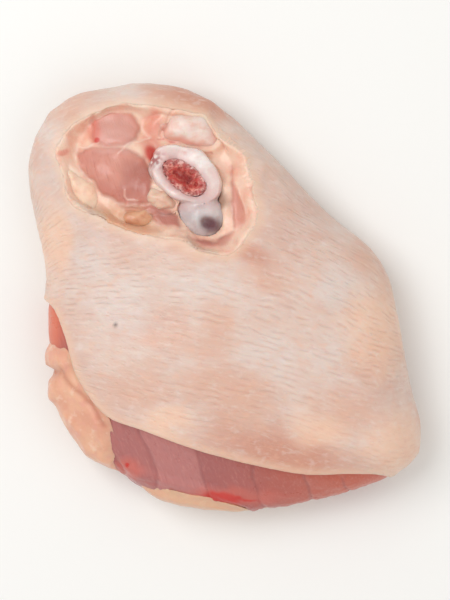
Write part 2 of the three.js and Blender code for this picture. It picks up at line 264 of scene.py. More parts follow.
skin = copy_of("skin_fine", "skin")
skin_edge = sharp_edges(skin)
remesh(skin, SKIN_VOXEL)
from_edge = distance_to(point_tree(skin_edge), points_of(skin))
smooth(skin, 60, ease(from_edge, *FIRM_EDGE))
smooth(skin, 5)
keep(skin, "edge", from_edge)
print("skin:", len(skin.data.vertices), "points,", len(skin_edge), "places on its cut edges")

# %% [markdown]
# The lower right corner of the real skin reaches a little further towards the knee than the
# solid's. It isn't worth a new solid: one soft oval draws it there, as a wide grab brush would.

# %% The skin's lower right corner
TO_KNEE = np.array((0.0, 1.0, 0.0))
HIGH_CORNER = ((43, -50), (13, 6))
CORNER_REACH = 2.2

push(skin, CORNER_REACH * oval(points_of(skin), *HIGH_CORNER, soft=0.9), TO_KNEE)
print("corner: drawn towards the knee by", CORNER_REACH, "mm")

# %% [markdown]
# The cut round the knee isn't a neat oval. The whole neighbourhood of that edge is shifted
# sideways by noise, the skin and all that lies beside it by the same rule, so that no gap opens
# between them.

# %% The uneven cut at the knee
RIM_MIN_Y, RIM_MIN_Z = 8, 10
WANDERS = [(10, 1.7), (4.5, 0.7)]
WANDER_FADE = (2.5, 11.0)

rim_edge = skin_edge[(skin_edge[:, 1] > RIM_MIN_Y) & (skin_edge[:, 2] > RIM_MIN_Z)]
rim_3d = point_tree(rim_edge)
skin_points = point_tree(points_of(skin))
on_rim = [skin_points.find(place)[1] for place in rim_edge]


def let_wander(piece):
    """Shifts the points of a piece near the cut at the knee."""
    points = points_of(piece)
    share = 1 - ease(distance_to(rim_3d, points), *WANDER_FADE)
    moved = points
    for size, reach in WANDERS:
        moved = wobbled(moved, size, reach, seed=0.5 * size)
    put_points(piece, points + share[:, None] * (moved - points))


let_wander(skin)
print("cut at the knee:", len(rim_edge), "places along its edge")

# %% [markdown]
# Raw skin is pulled by the feather follicles into low, stretched bumps, and between them lie
# short creases, like dashes, a few millimetres long. They lie in rows about 2 mm apart that run
# nearly level over the thigh and fall a little more at the right. Noise alone would scatter them,
# so the rows come first: the sides of the skin are folded out level, and each point is told
# which row it lies in and how far from its middle.

# %% The rows of creases
ROW_PITCH = 1.8
ROW_FALL, ROW_BEND = 0.2, 0.003
SIDE_FROM = 25


def unrolled(points):
    """The points with the skin's sides folded out level, so that its rows run on over them."""
    flat = points.copy()
    below_top = cad_box[1][2] / MM - points[:, 2]
    for axis in (0, 1):
        flat[:, axis] += below_top * np.clip(points[:, axis] / SIDE_FROM, -1, 1)
    flat[:, 1] += flat[:, 0] * (ROW_FALL + ROW_BEND * flat[:, 0])
    return flat


places = points_of(skin)
flat = unrolled(places)
row = flat[:, 1] / ROW_PITCH + 0.5 * waves(places, (9, 6, 6), 3.1)
row += 0.22 * waves(places, (3, 3, 3))
row_number = np.round(row)
keep(skin, "row", row)
keep(skin, "along", flat[:, 0])
print("skin:", len(np.unique(row_number)), "rows of creases,", ROW_PITCH, "mm apart")

# %% [markdown]
# Creases and bumps belong on the outer side of the sheet. It is the side whose normals point the
# same way as the line that leads from the muscle out to the point. A search tree over the
# facets of the muscle finds where that line starts.


# %% The skin's outer side
def tree_of(*nodes):
    """A search tree over the faces of some solids, in millimetres."""
    corners, faces = [], []
    for node in nodes:
        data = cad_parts[node].data
        faces += [[v + len(corners) for v in face.vertices] for face in data.polygons]
        corners += [v.co / MM for v in data.vertices]
    return BVHTree.FromPolygons(corners, faces)


def nearest_on(tree, points):
    """The nearest place of the tree's faces to each point, and the distance."""
    found = [tree.find_nearest(p) for p in points]
    return np.array([hit[0][:] for hit in found]), np.array([hit[3] for hit in found])


def unit(arrows):
    """The arrows cut or stretched to a length of 1."""
    return arrows / np.maximum(np.linalg.norm(arrows, axis=1), 1e-6)[:, None]


def along_normals(piece, arrows):
    """How far the arrow at each point goes along the point's normal."""
    return (arrows * normals_of(piece)).sum(axis=1)


meat_solid = tree_of("meat")
inside, _ = nearest_on(meat_solid, places)
outward = unit(places - inside)
outer = ease(along_normals(skin, outward), 0.1, 0.7)
keep(skin, "inner", 1 - outer)
print("skin:", round(100 * float(outer.mean())), "% of it is outer side")

# %% [markdown]
# A crease is a dash of its row: noise along the row switches it on and off, and each row jumps
# to another stretch of that noise, so that the dashes of two rows don't line up. Creases keep
# off the cut at the knee, fade in some places and are fainter on the lower part, which is
# stretched. Broad swells come from the muscle below.

# %% The skin's relief
DASH, DASH_GAP, ROW_JUMP = 4.0, (-0.15, 0.3), 3.7
PLAIN_RIM = (2.5, 9)
LOWER_PART, FAINT_BELOW = (-36, -16), 0.45
BUMPS, BUMP_HEIGHT = (6.0, 2.2, 2.4), 0.12
CREASE_DEPTH, CREASE_WIDTH = 0.12, 0.26
SKIN_SWELLS = [((26, 20, 20), 0.5), ((10, 8, 9), 0.16)]

on_row = np.stack([flat[:, 0] / DASH, ROW_JUMP * row_number, 0 * row], axis=1)
dash = outer * ease(waves(on_row, (1, 1, 1)), *DASH_GAP)
patchy = ease(waves(places, (22, 18, 18), seed=11.0), -0.6, 0.1)
dash *= patchy * ease(distance_to(rim_3d, places), *PLAIN_RIM)
dash *= FAINT_BELOW + (1 - FAINT_BELOW) * ease(places[:, 1], *LOWER_PART)
crease = dash * np.exp(-((row - row_number) / CREASE_WIDTH) ** 2)
swell = sum(height * waves(places, size, seed=1.7) for size, height in SKIN_SWELLS)
bump = outer * waves(flat * (1, 1, 0) + places * (0, 0, 1), BUMPS, seed=5.5)
push(skin, swell + BUMP_HEIGHT * bump - CREASE_DEPTH * crease, outward)
keep(skin, "dash", dash)
print("skin: swells of", round(float(np.ptp(swell)), 1), "mm between low and high")

# %% [markdown]
# The skin is a pale pinkish cream. Seen closer it drifts between a cool white, where the fat
# below is thick, a peach pink, where muscle shows through, and a faint yellow. The largest of
# these patches are placed, as each bird has its own, and noise makes the rest. The deepest flush
# lies along the lower and the right side, where it is painted shade, and beside the opening at
# the knee. The yellow is lighter than the skin, and at the right and in the lower right corner,
# where the skin turns away from the light, it is partly painted light.

# %% The skin's patches
SKIN_PATCHES = {
    "cool": [((-27, -1), (8, 7)), ((29, 4), (6, 5)), ((-45, 40), (4, 9)), ((-6, 4), (9, 3)),
             ((-35, 14), (5, 7)), ((12, -14), (6, 5)), ((-24, 54), (6, 4))],
    "warm": [((-1, -8), (5, 8)), ((-15, -9), (6, 3.5)), ((31, -27), (7, 5)),
             ((-4, -21), (9, 5)), ((12, 6), (6, 2.5)), ((38, 12), (5, 5)),
             ((-6, 14), (10, 3), -16), ((-40, 51), (5, 4)), ((-21, -22), (9, 5)),
             ((4, -26), (10, 8)), ((-6, 54), (11, 6), -12), ((37, -14), (6, 6)),
             ((-3, -11), (6, 5)), ((18, -41), (12, 4))],
    # a faint yellow, lighter than the skin: partly painted light at the right and the lower right
    # corner
    "yellow": [((-15, -31), (5, 4)), ((40, -6), (8, 11)), ((24, -33), (7, 4)),
               ((45, -38), (9, 8)), ((-45, 15), (4, 9))],
    # a flush by the knee, and painted shade along the lower and the right edge
    "flush_and_shade": [((14, -40), (20, 7), -10), ((53, -22), (2, 12), 8), ((48, 12), (5, 12), 25),
                ((-6, 54.5), (11, 6), -12), ((6, 13), (9, 3), -20)],
}
PORE = ((-28.2, -5.8), (0.5, 0.5))

drifting = wobbled(points_of(skin), 8, 3.0, seed=2.0)
for name, ovals in SKIN_PATCHES.items():
    keep(skin, name, patches(drifting, ovals))
    print("skin:", len(ovals), name, "patches")
keep(skin, "pore", outer * oval(points_of(skin), *PORE, soft=0.9))

# %% [markdown]
# ## Materials from small parts
# Raw food is never one flat colour. Each material is a small net of nodes: thin tints over each
# other, some laid on by noise and some by a number that was stored on the points. A painted
# image could hold the same colours, but noise stays sharp however near the camera comes.


# %% Helpers for nodes
def add_node(tree, kind, inputs=None, **settings):
    """Adds a node. An input is a number, a colour or another node's output."""
    made = tree.nodes.new(kind)
    for key, value in settings.items():
        setattr(made, key, value)
    for key, value in (inputs or {}).items():
        if isinstance(value, bpy.types.NodeSocket):
            tree.links.new(value, made.inputs[key])
        else:
            made.inputs[key].default_value = value
    return made


def stored(tree, name):
    """The number that keep() stored on the points under this name."""
    return add_node(tree, "ShaderNodeAttribute", attribute_name=name).outputs["Fac"]


def spread(tree, value, low, high, to_low=0.0, to_high=1.0):
    """Turns low to high into to_low to to_high, smoothly."""
    inputs = {0: value, 1: low, 2: high, 3: to_low, 4: to_high}
    return add_node(tree, "ShaderNodeMapRange", inputs, interpolation_type="SMOOTHSTEP").outputs[0]


def maths(tree, way, first, second):
    """Adds, multiplies or subtracts two numbers or outputs."""
    return add_node(tree, "ShaderNodeMath", {0: first, 1: second}, operation=way).outputs[0]


# %% Noise that lies still on an object
def on_object(tree, size, shift, turn):
    """Object coordinates in steps of this size in mm, shifted and turned about Z."""
    place = add_node(tree, "ShaderNodeTexCoord").outputs["Object"]
    inputs = {"Vector": place, "Scale": [length * MM for length in size],
              "Location": [length * MM for length in shift], "Rotation": (0, 0, turn)}
    return add_node(tree, "ShaderNodeMapping", inputs, vector_type="TEXTURE").outputs[0]


def grain(tree, size, detail, rough=0.5, shift=(0, 0, 0), turn=0.0):
    """Noise from 0 to 1 with spots of this size in mm along X, Y and Z."""
    inputs = {"Vector": on_object(tree, size, shift, turn), "Scale": 1.0, "Detail": detail,
              "Roughness": rough}
    return add_node(tree, "ShaderNodeTexNoise", inputs).outputs["Fac"]


def cells(tree, size, turn=0.0):
    """Distance to the nearest of scattered points that lie about this far apart, in mm."""
    inputs = {"Vector": on_object(tree, size, (0, 0, 0), turn), "Scale": 1.0}
    return add_node(tree, "ShaderNodeTexVoronoi", inputs).outputs["Distance"]


# %% Colours, and tints over each other
def colour(red, green, blue):
    """A colour that is read off a screen, from 0 to 255, as the linear light that nodes use."""
    def linear(value):
        share = value / 255
        return share / 12.92 if share <= 0.04045 else ((share + 0.055) / 1.055) ** 2.4
    return (linear(red), linear(green), linear(blue), 1.0)


def mixed(tree, share, below, above):
    """One colour laid over another by a share from 0 to 1."""
    inputs = {0: share, 6: below, 7: above}
    return add_node(tree, "ShaderNodeMix", inputs, data_type="RGBA").outputs[2]


def tinted(tree, tint, number, low, high, share, paint):
    """Lays a paint over the tint where a number goes from low to high, up to this share."""
    return mixed(tree, spread(tree, number, low, high, 0.0, share), tint, colour(*paint))


def stained(tree, tint, name, share, paint):
    """Lays a paint over the tint by this share of the number stored under the name."""
    amount = maths(tree, "MULTIPLY", stored(tree, name), share)
    return mixed(tree, amount, tint, colour(*paint))


# %% [markdown]
# Meat, fat and gristle let some light in and give it back a little further on, reddest where it
# has come furthest. The shader's subsurface part does that, and a thin coat makes them moist.
# Without the first they would look painted, and without the second dry.

# %% A moist material, and how a piece gets it
RED_GOES_FURTHEST = (1.0, 0.4, 0.25)


def new_material(name, roughness, flesh, depth, coat):
    """A moist, slightly see-through material: its light travels `depth` mm inside."""
    material = bpy.data.materials.new(name)
    material.use_nodes = True
    shader = material.node_tree.nodes["Principled BSDF"]
    shader.inputs["Roughness"].default_value = roughness
    shader.inputs["IOR"].default_value = 1.4
    shader.inputs["Subsurface Weight"].default_value = flesh
    shader.inputs["Subsurface Radius"].default_value = RED_GOES_FURTHEST
    shader.inputs["Subsurface Scale"].default_value = depth * MM
    shader.inputs["Coat Weight"].default_value = coat
    shader.inputs["Coat Roughness"].default_value = 0.22
    return material, material.node_tree, shader


def finish_with(tree, shader, tint, rough, height, relief):
    """Wires colour, roughness, if any, and a bump of so many millimetres into the shader."""
    tree.links.new(tint, shader.inputs["Base Color"])
    if rough is not None:
        tree.links.new(rough, shader.inputs["Roughness"])
    inputs = {"Height": height, "Distance": relief * MM, "Strength": 1.0}
    bump = add_node(tree, "ShaderNodeBump", inputs)
    tree.links.new(bump.outputs["Normal"], shader.inputs["Normal"])


def dress(piece, material, node):
    """Gives the piece its material, and puts it in the place of its plain solid."""
    piece.data.materials.clear()
    piece.data.materials.append(material)
    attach(piece, "root")
    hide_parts(node)
    print(piece.name, "wears", material.name, "with", len(material.node_tree.nodes), "nodes")


# %% [markdown]
# ## The skin's finish
# Its tints go from the broadest to the finest: drifts and patches, then blotches and streaks
# along the rows, then painted shade in the creases and a painted highlight on the ridges between
# the rows. The net is too coarse for a line as thin as a crease, so the finish works it out again
# from the row that each point has stored. The hem at the cut edges and the inner side are creamy
# with fat.


# %% The skin's drifts and patches
def skin_drifts(tree):
    """Pale skin that drifts in colour, with the placed patches."""
    pink = spread(tree, grain(tree, (24, 15, 20), 3.0, 0.6), 0.4, 0.64)
    tint = mixed(tree, pink, colour(221, 197, 185), colour(215, 182, 168))
    cool = grain(tree, (17, 12, 15), 3.0, 0.55, (60, 90, 10))
    tint = tinted(tree, tint, cool, 0.46, 0.8, 0.5, (221, 208, 202))
    tint = tinted(tree, tint, stored(tree, "cool"), 0.0, 1.0, 0.6, (222, 210, 204))
    warm = spread(tree, grain(tree, (9, 7, 9), 4.0, 0.65, (99, 22, 55)), 0.46, 0.8, 0.0, 0.42)
    placed = spread(tree, stored(tree, "warm"), 0.0, 1.0, 0.0, 0.7)
    tint = mixed(tree, maths(tree, "ADD", warm, placed), tint, colour(218, 175, 155))
    # The flush is painted shade along the lower and the right side.
    tint = tinted(tree, tint, stored(tree, "flush_and_shade"), 0.0, 1.0, 0.8, (203, 142, 120))
    # The yellow is lighter than the skin: partly painted light at the right and the lower right
    # corner.
    return tinted(tree, tint, stored(tree, "yellow"), 0.0, 1.0, 0.65, (243, 201, 173))


# %% The skin's streaks and creases
# The share of the painted shade in the creases and of the painted highlight on the ridges.
CREASE_SHADING = 0.17


def row_grain(tree, length, width, rough):
    """Noise whose spots are so many mm long and wide, and lie along the rows of creases."""
    inputs = {"X": maths(tree, "MULTIPLY", stored(tree, "along"), 1 / length),
              "Y": maths(tree, "MULTIPLY", stored(tree, "row"), ROW_PITCH / width)}
    place = add_node(tree, "ShaderNodeCombineXYZ", inputs).outputs[0]
    inputs = {"Vector": place, "Scale": 1.0, "Detail": 3.0, "Roughness": rough}
    return add_node(tree, "ShaderNodeTexNoise", inputs).outputs["Fac"]


def skin_streaks(tree, tint):
    """Adds blotches, and streaks along the rows."""
    mottle = grain(tree, (3.2, 2.4, 3), 3.0, 0.6, (12, 44, 80))
    tint = tinted(tree, tint, mottle, 0.5, 0.74, 0.34, (231, 184, 158))
    tint = tinted(tree, tint, mottle, 0.48, 0.26, 0.34, (230, 215, 208))
    streaks = row_grain(tree, 5.0, 1.2, 0.6)
    tint = tinted(tree, tint, streaks, 0.5, 0.76, 0.34, (208, 163, 148))
    return tinted(tree, tint, streaks, 0.48, 0.26, 0.3, (233, 217, 207))


def skin_creases(tree):
    """How much a place belongs to a crease, and how much to the ridge between two rows."""
    wrap = {0: stored(tree, "row"), 1: 0.5, 2: -0.5}
    in_row = add_node(tree, "ShaderNodeMath", wrap, operation="WRAP").outputs[0]
    off_middle = add_node(tree, "ShaderNodeMath", {0: in_row}, operation="ABSOLUTE").outputs[0]
    line = spread(tree, off_middle, 0.0, 0.27, 1.0, 0.0)
    between = spread(tree, off_middle, 0.3, 0.5)
    dash = stored(tree, "dash")
    return maths(tree, "MULTIPLY", line, dash), maths(tree, "MULTIPLY", between, dash)


# %% The skin's material
def make_skin_material(name):
    """Moist skin, tinted from broad to fine, with a relief of pores and creases."""
    material, tree, shader = new_material(name, 0.42, flesh=0.3, depth=1.8, coat=0.12)
    tint = skin_streaks(tree, skin_drifts(tree))
    crease, ridge_highlight = skin_creases(tree)
    # A painted highlight on the ridges between rows, and painted shade in the creases.
    for amount, paint in ((ridge_highlight, (234, 214, 204)), (crease, (186, 134, 118))):
        share = maths(tree, "MULTIPLY", amount, CREASE_SHADING)
        tint = mixed(tree, share, tint, colour(*paint))
    hem = spread(tree, stored(tree, "edge"), 0.3, 3.4, 0.6, 0.0)
    tint = mixed(tree, hem, tint, colour(232, 196, 171))
    tint = tinted(tree, tint, stored(tree, "inner"), 0.35, 0.8, 1.0, (236, 203, 174))
    tint = stained(tree, tint, "pore", 0.8, (84, 76, 70))
    rough = spread(tree, grain(tree, (6, 5, 6), 3.0), 0.3, 0.7, 0.36, 0.52)
    fine = row_grain(tree, 2.4, 0.7, 0.62)
    pores = spread(tree, cells(tree, (2.2, 1.3, 1.5), turn=-ROW_FALL), 0.0, 0.35)
    height = maths(tree, "SUBTRACT", maths(tree, "ADD", fine, pores), crease)
    finish_with(tree, shader, tint, rough, height, relief=0.08)
    return material


dress(skin, make_skin_material("skin"), "skin")

# %% [markdown]
# ## The muscle
# The muscle is one body under the skin and shows in two places: as smooth lobes round the bone
# at the knee, and as a crescent along the lower side, where the skin is cut short. Its net is
# swollen a little, so that it closes up to the skin, the bone and the fat. It is made twice as
# fine in those two places only, as squares that the skin hides would be wasted.

# %% A finer net where it shows
MOUTH = ((-18, 34), (28, 22), -30)
CRESCENT_START, CRESCENT_FALL = (-30, -33.0), -0.26


def above_crescent(points):
    """How far a point lies above the line that parts the bare crescent from the skin."""
    x, y = CRESCENT_START
    return points[:, 1] - (y + CRESCENT_FALL * (points[:, 0] - x))


def finer_where(piece, wanted):
    """Halves the squares of the net around the wanted points."""
    only(piece)
    bpy.ops.object.mode_set(mode="EDIT")
    bpy.ops.mesh.select_mode(type="VERT")
    bpy.ops.mesh.select_all(action="DESELECT")
    bpy.ops.object.mode_set(mode="OBJECT")
    piece.data.vertices.foreach_set("select", wanted)
    bpy.ops.object.mode_set(mode="EDIT")
    bpy.ops.mesh.subdivide(number_cuts=1, smoothness=0.0)
    bpy.ops.object.mode_set(mode="OBJECT")


# %% The meat's net
MEAT_VOXEL = 0.77
MEAT_SWELL = 0.6
FIRM_SOCKET = (0.8, 3.0)
KNEE_HEIGHT = (8, 12)
CRESCENT_HEIGHT, CRESCENT_HEM = 2, 3

meat = copy_of("meat_fine", "meat", swell=MEAT_SWELL)
remesh(meat, MEAT_VOXEL)
sockets = tree_of("bone", "fat_band", "fat_pad", "fat_lump", "fat_patch")
_, to_socket = nearest_on(sockets, points_of(meat))
smooth(meat, 40, ease(to_socket, *FIRM_SOCKET))
smooth(meat, 3)
places = points_of(meat)
shown = (oval(places, *MOUTH, soft=0.05) > 0.5) & (places[:, 2] > KNEE_HEIGHT[0])
shown |= (above_crescent(places) < CRESCENT_HEM) & (places[:, 2] > CRESCENT_HEIGHT)
finer_where(meat, shown)
print("meat:", len(meat.data.vertices), "points")

# %% [markdown]
# At the knee a soft rim of fat slopes from the cut edge of the skin down to the muscle. As a
# piece of its own it would show a seam at its foot, where the real one runs out into the muscle.
# So the muscle's net is raised instead: each bare point looks for the skin's edge near it,
# and points just under the edge are raised too, so that nothing dark is left below it.

# %% How far the skin's edge is
UP = Vector((0, 0, 1))
UNDER_SKIN, UNDER_FALL = 1.6, 0.8
NEIGHBOURS = 8
FAR_OFF = 99.0

skin_solid = tree_of("skin")
rim_edge[:, 2] = points_of(skin)[on_rim, 2]
rim_plan = point_tree(rim_edge * (1, 1, 0))
places = points_of(meat)
mouth = oval(places, *MOUTH, soft=0.15) * ease(places[:, 2], *KNEE_HEIGHT)
rim_gap, rim_top = np.full(len(places), FAR_OFF), np.zeros(len(places))
for i in np.flatnonzero(mouth > 0):
    near = rim_plan.find_n((*places[i][:2], 0), NEIGHBOURS)
    gap = near[0][2]
    covered = skin_solid.ray_cast(Vector(places[i]), UP)[0] is not None
    if not covered or gap < UNDER_SKIN:
        rim_gap[i] = 0 if covered else gap
        rim_top[i] = max(rim_edge[hit[1]][2] for hit in near) - covered * UNDER_FALL * gap
print("rim:", int((rim_gap < FAR_OFF).sum()), "points lie bare or just under the skin's edge")

# %% [markdown]
# The lift fades with the distance from the edge, over the width of the rim. The rim is broad at
# the left, the top and the right, and narrow at the upper left and at the foot of the opening.
# Noise makes its foot uneven.

# %% The rim of fat at the knee
RIM_WIDTH, RIM_EXTRA = 2.4, 3.2
WIDE_RIM = [((-38, 31), (9, 13)), ((-6, 49), (13, 6)), ((7, 38), (6, 10))]
NARROW_RIM = [((-29, 51), (8, 5)), ((-4, 13), (8, 4), -15)]
RIM_ABOVE = 0.1

rim_width = RIM_WIDTH + RIM_EXTRA * patches(places, WIDE_RIM, 0.8)
rim_width += 0.9 * waves(places, (5, 5, 5), 7.0)
rim_width *= 1 - 0.45 * patches(places, NARROW_RIM, 0.8)
rim_lift = (1 - ease(rim_gap, 0, rim_width)) * np.maximum(rim_top + RIM_ABOVE - places[:, 2], 0)
rim_fat = 1 - ease(rim_gap, 0.7 * rim_width, 1.15 * rim_width)
print("rim:", int((rim_fat > 0.5).sum()), "points of it are fat")

# %% [markdown]
# The lumps of fat beside the bone are bedded in the muscle as in soft clay. A low bank is raised
# round each of them, up to a little below its crown, and the rest of the lump shows above it.

# %% Banks round the lumps of fat
FAT_SHOWS = {"fat_band": 0.8, "fat_pad": 1.1, "fat_lump": 0.9, "fat_patch": 0.4}
BANK_WIDTH = 3.6

bank = np.zeros(len(places))
for node, shows in FAT_SHOWS.items():
    _, to_fat = nearest_on(tree_of(node), places)
    fat_top = max(corner.co.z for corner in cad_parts[node].data.vertices) / MM
    lift = np.maximum(fat_top - shows - places[:, 2], 0)
    bank = np.maximum(bank, mouth * lift * (1 - ease(to_fat, 0.3, BANK_WIDTH)))
put_points(meat, places + np.outer(np.maximum(rim_lift, bank), UP))
let_wander(meat)
print("banks: raised by up to", round(float(bank.max()), 1), "mm")

# %% [markdown]
# The loose flap of skin at the left lies on the muscle. Where the muscle is lower than the flap's
# underside it is filled up to it, so that no slit shows at the flap's edge. Above the flap the
# muscle bulges a little, and beside the two heads of the bone it has a small hollow.

# %% The muscle beside the flap and the bone
MOST_FILL, BY_FLAP = 2, 5.0
RED_BULGE, BULGE_HEIGHT = ((-46, -6), (5, 9)), 1.2
GAP, GAP_DEPTH = ((-1.2, 26.6), (1.7, 2.4)), 0.2

places = points_of(meat)
on_flap, to_flap = nearest_on(tree_of("skin_flap"), places)
rise = along_normals(meat, on_flap - places)
aside = np.sqrt(np.maximum(to_flap**2 - rise**2, 0))
fill = np.clip(rise - 0.1, 0, MOST_FILL) * (1 - ease(aside, 0.3, BY_FLAP))
push(meat, fill)
push(meat, BULGE_HEIGHT * oval(places, *RED_BULGE, soft=0.9) - GAP_DEPTH * oval(places, *GAP))
print("by the flap: filled by up to", round(float(fill.max()), 1), "mm")

# %% [markdown]
# Muscle is bundles of fibres in thin clear bags. Where two bags meet there is a groove, and it
# often holds a white strand of membrane. In the crescent the fibres and the grooves run down and
# to the right. At the knee the bundles end in rounded lobes, with fat and membrane between them.
# Noise can't lay these out, so the seams, the rims of the lobes and the strands are drawn over
# the plan by a few points each, and each point of the net asks how far from them it lies.


# %% Lines and outlines over the plan
def gap_to_line(points, line):
    """Each point's distance to a line that is drawn over the plan."""
    nearest = np.full(len(points), np.inf)
    for start, end in zip(line, line[1:]):
        start, run = np.array(start, float), np.subtract(end, start)
        share = np.clip((points[:, :2] - start) @ run / (run @ run), 0, 1)
        away = points[:, :2] - start - share[:, None] * run
        nearest = np.minimum(nearest, np.hypot(away[:, 0], away[:, 1]))
    return nearest


def stroke(points, line, width):
    """1 on a line that is drawn over the plan and fading to 0 at about this distance from it."""
    return np.exp(-(1.5 * gap_to_line(points, line) / width) ** 2)


def strokes(points, lines, width):
    """The strongest of several strokes at each point."""
    return np.max([stroke(points, line, width) for line in lines], axis=0)


def depth_in(points, outline):
    """How deep each point lies inside an outline that is drawn over the plan; outside below 0."""
    inside = np.zeros(len(points), bool)
    x, y = points[:, 0], points[:, 1]
    closed = [*outline, outline[0]]
    for (x0, y0), (x1, y1) in zip(closed, closed[1:]):
        crossed = (y0 > y) != (y1 > y)
        side = (x1 - x0) * (y - y0) / ((y1 - y0) or 1e-9) + x0
        inside ^= crossed & (x < side)
    gap = gap_to_line(points, closed)
    return np.where(inside, gap, -gap)


# %% Bundles in the crescent
SEAMS = [-30.5, -21.5, -8.5, 4.5, 17.5, 27.5]
SEAM_LEAN, SEAM_ROW = 0.33, -37.0
SEAM_WIDTH = 0.7
FIBRE_TURN = math.atan2(-1, SEAM_LEAN)

places = points_of(meat)
wavy = wobbled(places, 7, 1.6, seed=4.0)
in_crescent = 1 - ease(above_crescent(places), 1.0, 4.0)
across = wavy[:, 0] - (SEAM_ROW - wavy[:, 1]) * SEAM_LEAN
seams = in_crescent * np.max([np.exp(-((across - x) / SEAM_WIDTH) ** 2) for x in SEAMS], axis=0)
fibres = waves(turned(places, -FIBRE_TURN), (11, 1.1, 1.6), seed=6.0)
print("meat:", len(SEAMS), "seams in the crescent")

# %% Lobes and strands at the knee
LOBES = {
    "upper": [(-35.2, 46.6), (-33.6, 49.4), (-29, 51), (-24.4, 49.2), (-22.6, 45.6), (-23.3, 42.7),
              (-26.5, 40.5), (-30.8, 40.2), (-34, 41.2), (-35.3, 43.9)],
    "middle": [(-39.7, 38.6), (-37.2, 39.9), (-33.4, 40.4), (-29.2, 40.7), (-26.4, 40.0),
               (-23.8, 38.8), (-21.4, 37.6), (-19.4, 34.9), (-19.0, 30.1), (-19.2, 26.2),
               (-26, 25.2), (-28.2, 25.6), (-31.8, 28.4), (-36.6, 33.2), (-38.9, 36.2)],
    "strip": [(-27.4, 24.9), (-19.3, 25.6), (-16.0, 25.0), (-12.9, 22.9), (-11.2, 19.5),
              (-13.2, 18.2), (-16.4, 19.2), (-18.7, 21.8), (-20.5, 23.0), (-26, 23.5)],
    "under": [(-17.0, 17.6), (-12.5, 18.6), (-8.0, 17), (-2.0, 16), (3.0, 19), (2.5, 12.5),
              (-5, 10.5), (-13.0, 13.6)],
    "right": [(1.6, 36), (6.4, 33), (8.8, 26), (6.4, 19), (2.6, 19.5), (1.8, 28)],
}
STRANDS = [
    [(-27.6, 38.2), (-26, 39.9), (-24.4, 41.2), (-22.4, 41.6), (-19.8, 42.5)],
    [(-25.7, 29.6), (-25.9, 28), (-25.2, 26.8), (-22.4, 26.4)],
    [(-33, 41.6), (-36, 40.5), (-38.5, 40.3)],
]
PAD_FOLD = [(-13.4, 50.4), (-15.0, 47), (-16.8, 43)]
GROOVE_WIDTH = 0.7

uneven = wobbled(wobbled(places, 4.5, 0.8, seed=2.5), 1.6, 0.4, seed=3.5)
lobe_depth = np.max([depth_in(uneven, outline) for outline in LOBES.values()], axis=0)
bare = mouth * ease(lobe_depth, -1.0, 0.9) * (1 - rim_fat)
grooves = mouth * np.exp(-(lobe_depth / GROOVE_WIDTH) ** 2)
grooves = np.maximum(grooves, mouth * stroke(wobbled(places, 3, 0.5), PAD_FOLD, GROOVE_WIDTH))
strands = mouth * strokes(wobbled(places, 3, 0.5, 1.0), STRANDS, 0.5)
print("meat:", len(LOBES), "lobes and", len(STRANDS), "strands at the knee")

# %% The meat's relief
LOBE_HEIGHT, STRAND_HEIGHT, FIBRE_HEIGHT = 0.5, 0.3, 0.13
GROOVE_DEPTH, SEAM_DEPTH = 0.4, 0.35

lumps = 0.35 * waves(places, (6, 6, 6), 3.3) + 0.22 * waves(places, (2.6, 2.6, 2.6), 8.8)
relief = mouth * (1 - rim_fat) * lumps + LOBE_HEIGHT * bare - GROOVE_DEPTH * grooves
relief = relief + STRAND_HEIGHT * strands - SEAM_DEPTH * seams
relief += FIBRE_HEIGHT * in_crescent * fibres
relief += 0.25 * (1 - mouth) * waves(places, (7, 7, 7), 2.1)
push(meat, relief)
places = points_of(meat)
places[:, 2] = np.maximum(places[:, 2], 0)
put_points(meat, places)
print("meat: shaped by", round(float(relief.min()), 1), "to", round(float(relief.max()), 1), "mm")

# %% [markdown]
# Bare muscle is a mauve pink in the crescent, a shade lighter or darker in each bundle and redder
# at the right, and a warmer salmon pink at the knee. The light band over the second and third
# bundles is partly a painted sheen. Blood has gathered in a thin line at the foot of the crescent,
# in a few small spots, and faintly round the top of the ring. Each of these is a number on the
# points, from 0 to 1, and the finish turns the numbers into colours.

# %% Bundles and blood
# Each bundle's own tone, from dark to light; the lighter second and third bundles are partly a
# painted sheen.
SHADES = [0.15, 0.5, 0.75, 0.3, 0.25, 0.45, 0.5]
BLOOD_LINE = [(0, -52.4), (5, -53.2), (14, -53.5)]
RED_SEAM = [(-17.4, 42.4), (-12.6, 41.5), (-8.9, 40.4), (-4.1, 38.9), (-1.5, 36.5)]
BLOOD_SPOTS = [((-33.3, 42.0), (0.8, 0.6)), ((-25.8, -43.6), (0.5, 0.6)),
               ((-19.2, 38.4), (1.4, 2.2), 20),
               ((-0.8, -52.1), (5, 1.5), -8)]

shade = np.full(len(places), SHADES[0])
for x, before, after in zip(SEAMS, SHADES, SHADES[1:]):
    shade += (after - before) * ease(across, x - 0.8, x + 0.8)
wavy = wobbled(places, 4, 1.5, seed=9.0)
line = stroke(wavy, BLOOD_LINE, 0.9) * ease(waves(places, (4, 2, 2), 3.0), -0.9, -0.2)
line *= 1 - 0.75 * ease(places[:, 0], 3, 12)
blood = np.maximum(line, patches(wobbled(places, 2, 0.4), BLOOD_SPOTS, 0.9))
broken = ease(waves(places, (1.5, 1.5, 1.5), 6.0), -0.3, 0.2)
blood = np.maximum(blood, 0.5 * stroke(wobbled(places, 2, 0.6), RED_SEAM, 0.7) * broken)
above = ease(places[:, 2], 1.5, 4)
keep(meat, "blood", above * blood)
keep(meat, "shade", shade)
keep(meat, "right", ease(across, -10, 30))
keep(meat, "bare", np.where(mouth > 0, bare, 1))
keep(meat, "knee", mouth)
# groove: the grooves and seams, which the finish paints darker as shade
keep(meat, "groove", np.maximum(grooves * (1 - rim_fat), seams))
keep(meat, "strand", strands)
keep(meat, "below", (1 - ease(places[:, 2], 1.5, 6)) * ease(above_crescent(places), 2, 9))
print("meat:", len(SHADES), "bundles and", len(BLOOD_SPOTS), "spots of blood")
